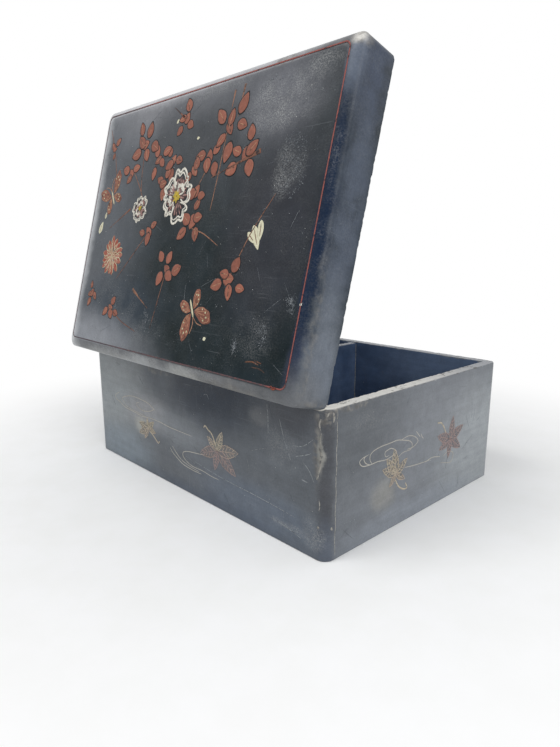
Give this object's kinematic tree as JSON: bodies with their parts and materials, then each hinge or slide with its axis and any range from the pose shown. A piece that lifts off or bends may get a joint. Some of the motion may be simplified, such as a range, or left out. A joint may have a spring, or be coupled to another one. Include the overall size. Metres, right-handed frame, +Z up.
{
  "type": "lacquer box",
  "caption": "Rectangular lacquered wooden box with a centre divider and a soft-shouldered lid on butt hinges, standing open.",
  "frame": {"origin": "centre of the body's underside, on the surface that it stands on", "axes": "+Z up, +X along the length towards the right end, -Y towards the hinge side"},
  "size_m": [0.273, 0.2203, 0.2871],
  "materials": {
    "lacquered_wood": "polished black lacquer, worn",
    "bamboo": "bare",
    "brass": "aged"
  },
  "bodies": {
    "box_body": {"floor_board": "lacquered_wood", "hinge_side_wall": "lacquered_wood", "opening_side_wall": "lacquered_wood", "left_end_wall": "lacquered_wood", "right_end_wall": "lacquered_wood", "centre_divider": "lacquered_wood", "left_hinge_corner_peg_1": "bamboo", "left_hinge_corner_peg_2": "bamboo", "left_opening_corner_peg_1": "bamboo", "left_opening_corner_peg_2": "bamboo", "right_hinge_corner_peg_1": "bamboo", "right_hinge_corner_peg_2": "bamboo", "right_opening_corner_peg_1": "bamboo", "right_opening_corner_peg_2": "bamboo", "floor_peg_1": "bamboo", "floor_peg_2": "bamboo", "floor_peg_3": "bamboo", "floor_peg_4": "bamboo", "floor_peg_5": "bamboo", "floor_peg_6": "bamboo", "left_hinge_body_leaf": "brass", "left_hinge_pin": "brass", "left_hinge_body_screw_1": "brass", "left_hinge_body_screw_2": "brass", "right_hinge_body_leaf": "brass", "right_hinge_pin": "brass", "right_hinge_body_screw_1": "brass", "right_hinge_body_screw_2": "brass"},
    "lid": {"lid_top_board": "lacquered_wood", "lid_hinge_side_wall": "lacquered_wood", "lid_opening_side_wall": "lacquered_wood", "lid_left_end_wall": "lacquered_wood", "lid_right_end_wall": "lacquered_wood", "lid_left_hinge_corner_peg": "bamboo", "lid_left_opening_corner_peg": "bamboo", "lid_right_hinge_corner_peg": "bamboo", "lid_right_opening_corner_peg": "bamboo", "lid_top_peg_1": "bamboo", "lid_top_peg_2": "bamboo", "lid_top_peg_3": "bamboo", "lid_top_peg_4": "bamboo", "lid_top_peg_5": "bamboo", "lid_top_peg_6": "bamboo", "left_hinge_lid_leaf": "brass", "left_hinge_lid_screw_1": "brass", "left_hinge_lid_screw_2": "brass", "right_hinge_lid_leaf": "brass", "right_hinge_lid_screw_1": "brass", "right_hinge_lid_screw_2": "brass"}
  },
  "joints": [
    {"name": "lid_hinge", "type": "hinge", "parent": "box_body", "child": "lid", "pos_m": [0, -0.0965, 0.0932], "axis": [1, 0, 0], "range_deg": [-75, 25]}
  ]
}
